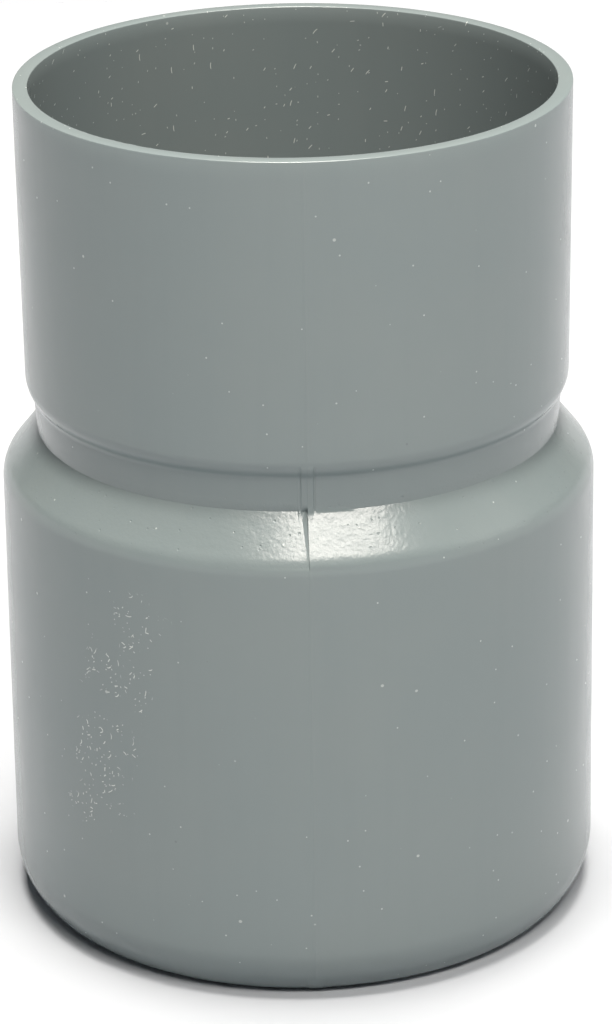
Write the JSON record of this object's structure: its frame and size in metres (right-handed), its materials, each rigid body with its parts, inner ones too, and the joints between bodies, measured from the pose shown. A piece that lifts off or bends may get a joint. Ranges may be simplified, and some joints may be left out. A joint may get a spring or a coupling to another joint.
{
  "type": "push fit coupling",
  "caption": "Straight pipe coupling: plain thin-walled socket above, neck and conical shoulder, wider push-fit socket with a rubber ring below.",
  "frame": {"origin": "centre of the face that the wide socket's mouth stands on", "axes": "+Z along the common axis of both sockets, towards the narrow plain socket's rim; the mould parting plane is X = 0, so its two lines face -Y and +Y"},
  "size_m": [0.0874, 0.0874, 0.1247],
  "materials": {
    "grey_pvc": "moulded satin grey",
    "black_rubber": "moulded matt black",
    "support_polymer": "natural polypropylene"
  },
  "bodies": {
    "root": {"coupling_body": "grey_pvc", "sealing_ring": "black_rubber", "seal_support_ring": "support_polymer"}
  },
  "joints": []
}
